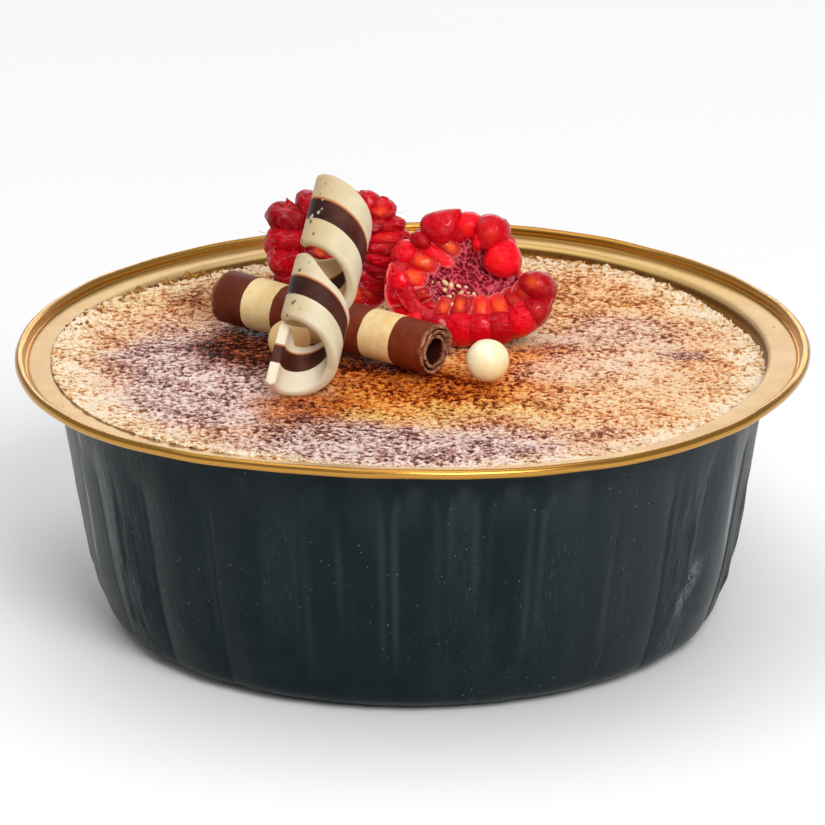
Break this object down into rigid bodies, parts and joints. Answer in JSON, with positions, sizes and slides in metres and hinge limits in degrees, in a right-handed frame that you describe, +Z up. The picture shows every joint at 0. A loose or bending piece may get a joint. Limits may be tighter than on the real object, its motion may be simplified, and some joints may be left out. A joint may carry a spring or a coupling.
{
  "type": "creme brulee",
  "caption": "Browned custard dessert in a dark pressed foil cup with a gold rolled rim, topped with raspberry halves, a striped chocolate curl, a chocolate roll and white pearls.",
  "frame": {"origin": "middle of the cup's flat base, on the surface it stands on", "axes": "+Z up through the middle of the cup; -Y is the front, where the cut faces of the raspberries look; +X is the dessert's right seen from the front"},
  "size_m": [0.095, 0.095, 0.055],
  "materials": {
    "foil": "satin dark lacquer outside, gold lacquer on the rim and inside",
    "custard": "baked custard with a browned, grainy sugar crust",
    "raspberry": "moist translucent fruit",
    "white_chocolate": "smooth white chocolate with one dark stripe",
    "milk_chocolate": "matt chocolate with pale bands",
    "pearl": "smooth satin sugar-coated pearl"
  },
  "bodies": {
    "root": {"foil_cup": "foil", "custard": "custard", "raspberry_half_front": "raspberry", "raspberry_half_back": "raspberry", "chocolate_curl": "white_chocolate", "chocolate_roll": "milk_chocolate", "pearl_front": "pearl", "pearl_back": "pearl"}
  },
  "joints": []
}
